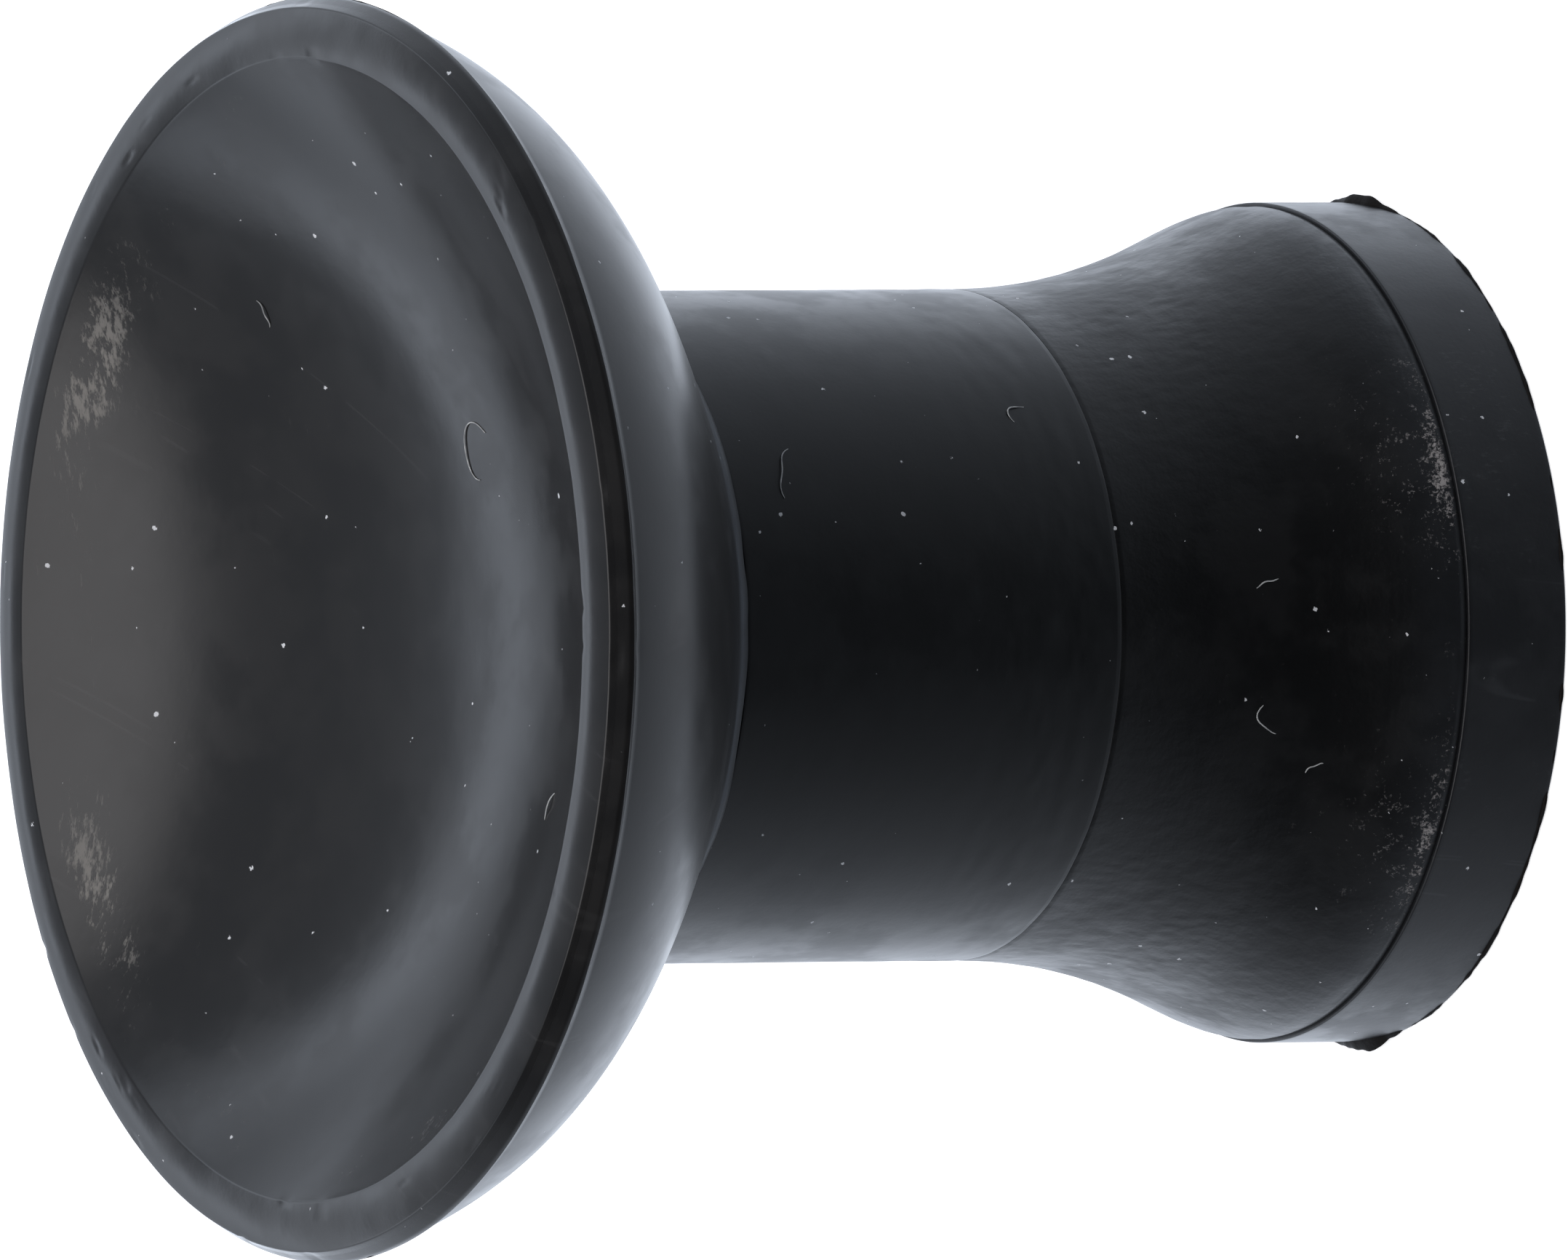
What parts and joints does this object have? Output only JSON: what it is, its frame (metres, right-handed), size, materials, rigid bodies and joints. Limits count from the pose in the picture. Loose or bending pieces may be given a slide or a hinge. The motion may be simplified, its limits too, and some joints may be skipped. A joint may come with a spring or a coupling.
{
  "type": "suction plunger head",
  "caption": "Small black rubber suction plunger head: a shallow sucker dish on a bell, a plain neck and a flared socket end that pushes onto a spindle.",
  "frame": {"origin": "centre of the base end face, which the part stands on", "axes": "+Z along the turning axis, from the base end face towards the sucker dish"},
  "size_m": [0.03, 0.03, 0.029],
  "materials": {
    "cup_rubber": "smooth moulded, slight sheen, dusty",
    "sleeve_rubber": "smooth moulded, satin",
    "collar_rubber": "slightly wrinkled, matt, scuffed near the band",
    "band_rubber": "smooth moulded, satin, torn flash on the end edge",
    "bush_steel": "drawn, dull"
  },
  "bodies": {
    "root": {"suction_cup": "cup_rubber", "neck_sleeve": "sleeve_rubber", "flared_collar": "collar_rubber", "end_band": "band_rubber", "drive_bush": "bush_steel"}
  },
  "joints": []
}
